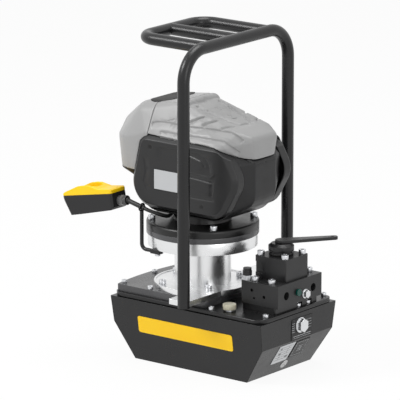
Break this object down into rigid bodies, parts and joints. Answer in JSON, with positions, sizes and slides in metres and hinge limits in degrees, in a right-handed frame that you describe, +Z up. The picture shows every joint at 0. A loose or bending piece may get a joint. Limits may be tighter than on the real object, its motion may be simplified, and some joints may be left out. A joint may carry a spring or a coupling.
{
  "type": "hydraulic power unit",
  "caption": "Cordless hydraulic power unit: tapered oil tank, upright motor in a moulded cowl, lever valve on a port manifold, tube cage with handle, and a hand pendant on a coiled cord.",
  "frame": {"origin": "centre of the tank's flat bottom", "axes": "+X along the tank towards the valve and the hose ports, -Y the long side with the name plate, +Z up"},
  "size_m": [0.4712, 0.398, 0.604],
  "materials": {
    "black_powder_coat": "satin powder coat",
    "grey_paint": "gloss paint",
    "gasket_rubber": "matte",
    "machined_aluminium": "fine machined",
    "black_casting": "satin paint",
    "dark_steel": "satin paint",
    "black_moulding": "moulded, satin",
    "grey_moulding": "moulded, satin",
    "battery_case": "moulded, matte",
    "controller_case": "cast, matte",
    "winding": "enamelled copper",
    "core_steel": "laminated",
    "ground_steel": "ground",
    "coupling_red": "moulded",
    "strainer_mesh": "woven mesh",
    "zinc_steel": "zinc plated",
    "black_oxide": "black oxide",
    "plug_finish": "plated",
    "cap_cream": "gloss",
    "plate_yellow": "printed plates, bare",
    "pendant_yellow": "moulded, satin",
    "button_green": "gloss",
    "gland_grey": "moulded",
    "cord_rubber": "matte"
  },
  "bodies": {
    "frame": {"tank": "black_powder_coat", "tank_gasket": "gasket_rubber", "deck_cover": "black_powder_coat", "riser_plate": "grey_paint", "cage_bracket": "machined_aluminium", "bell_housing": "machined_aluminium", "motor_flange": "machined_aluminium", "adapter_ring": "grey_paint", "motor_foot": "black_casting", "motor_can": "dark_steel", "roll_cage": "black_powder_coat", "carry_handle": "black_powder_coat", "cowl_lower": "black_moulding", "cowl_top": "grey_moulding", "hood_hinge_pin": "ground_steel", "front_panel": "black_moulding", "rear_panel": "black_moulding", "battery_pack": "battery_case", "battery_cradle": "black_moulding", "motor_controller": "controller_case", "stator": "winding", "shaft_bearings": "ground_steel", "pump_body": "machined_aluminium", "pump_pistons": "ground_steel", "suction_strainer": "strainer_mesh", "oil_tubes": "zinc_steel", "manifold_pedestal": "black_powder_coat", "manifold": "black_oxide", "valve_block": "black_oxide", "relief_valve": "zinc_steel", "port_plugs": "plug_finish", "filler_neck": "zinc_steel", "m8_screws": "zinc_steel", "m6_screws": "zinc_steel", "flange_bolts": "zinc_steel", "cowl_screws": "black_oxide", "name_plates": "plate_yellow", "pendant_hanger": "black_powder_coat", "pendant_body": "black_moulding", "pendant_cover": "pendant_yellow", "pendant_gland": "gland_grey", "housing_gland": "black_moulding", "pendant_cord": "cord_rubber", "cord_coil": "cord_rubber", "housing_cord": "cord_rubber"},
    "drive": {"rotor": "core_steel", "motor_shaft": "ground_steel", "motor_fan": "black_moulding", "shaft_coupling": "coupling_red", "pump_shaft": "ground_steel"},
    "hood": {"battery_hood": "grey_moulding", "top_inlay": "black_moulding"},
    "latch": {"hood_latch": "black_moulding"},
    "valve_handle": {"valve_knob": "black_oxide", "valve_lever": "black_oxide"},
    "relief_screw": {"relief_adjuster": "black_oxide"},
    "filler": {"filler_cap": "cap_cream"},
    "start_button": {"button_start": "button_green"},
    "stop_button": {"button_stop": "black_moulding"}
  },
  "joints": [
    {"name": "drive_spin", "type": "hinge", "parent": "frame", "child": "drive", "pos_m": [-0.038, -0.01, 0.2], "axis": [0, 0, 1], "continuous": true},
    {"name": "hood_hinge", "type": "hinge", "parent": "frame", "child": "hood", "pos_m": [-0.057, -0.01, 0.475], "axis": [0, 1, 0], "range_deg": [0, 50]},
    {"name": "latch_press", "type": "slide", "parent": "hood", "child": "latch", "axis": [1, 0, 0], "range_m": [0, 0.003], "stiffness_N_per_m": 400, "springref_m": -0.002},
    {"name": "valve_turn", "type": "hinge", "parent": "frame", "child": "valve_handle", "pos_m": [0.131, 0, 0.2], "axis": [0, 0, 1], "range_deg": [-45, 45]},
    {"name": "relief_turn", "type": "hinge", "parent": "frame", "child": "relief_screw", "pos_m": [0.098, -0.0555, 0.19], "axis": [0, 0, 1], "range_deg": [-180, 180]},
    {"name": "filler_turn", "type": "hinge", "parent": "frame", "child": "filler", "pos_m": [0.08, -0.084, 0.13], "axis": [0, 0, 1], "range_deg": [0, 360]},
    {"name": "start_press", "type": "slide", "parent": "frame", "child": "start_button", "axis": [0.1822, 0, -0.9833], "range_m": [0, 0.0025], "stiffness_N_per_m": 400, "springref_m": -0.002},
    {"name": "stop_press", "type": "slide", "parent": "frame", "child": "stop_button", "axis": [0.1822, 0, -0.9833], "range_m": [0, 0.0025], "stiffness_N_per_m": 400, "springref_m": -0.002}
  ]
}
